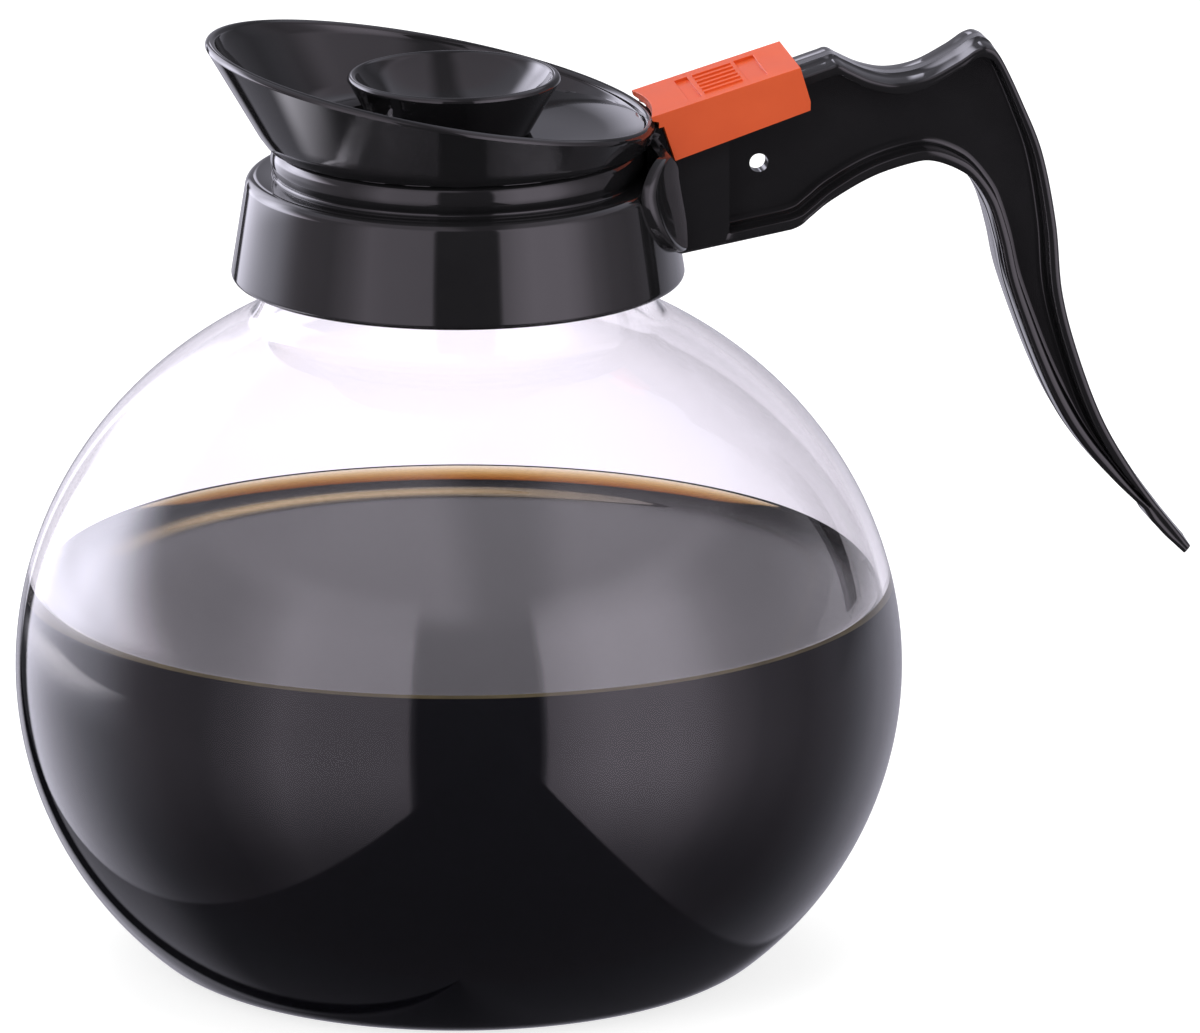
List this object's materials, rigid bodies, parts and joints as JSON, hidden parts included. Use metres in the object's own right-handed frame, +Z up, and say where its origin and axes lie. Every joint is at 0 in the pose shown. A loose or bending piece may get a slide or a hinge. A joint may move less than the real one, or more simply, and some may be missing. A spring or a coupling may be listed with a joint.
{
  "type": "coffee server carafe",
  "caption": "Round glass coffee carafe with a collar, a sloping pouring funnel with a lift-out drip cup, an I-section handle and a clip on the handle.",
  "frame": {"origin": "on the bowl's axis, at the flat face that the carafe stands on", "axes": "+Z up along the bowl's axis, +X towards the handle, -X towards the spout, +Y to the left of the handle seen from the spout's far side"},
  "size_m": [0.2199, 0.165, 0.1762],
  "materials": {
    "glass": "clear, polished",
    "gasket": "soft, matte",
    "steel": "bright",
    "black_plastic": "high gloss, moulded",
    "orange_plastic": "satin, moulded"
  },
  "bodies": {
    "carafe": {"glass_bowl": "glass", "neck_gasket": "gasket", "retaining_ring": "steel", "collar": "black_plastic", "spout_funnel": "black_plastic", "handle": "black_plastic", "handle_screws": "steel"},
    "cup": {"drip_cup": "black_plastic"},
    "clip_body": {"clip": "orange_plastic"}
  },
  "joints": [
    {"name": "cup_lift", "type": "slide", "parent": "carafe", "child": "cup", "axis": [0, 0, 1], "range_m": [0, 0.03]},
    {"name": "clip_lift", "type": "slide", "parent": "carafe", "child": "clip_body", "axis": [0, 0, 1], "range_m": [0, 0.02]}
  ]
}
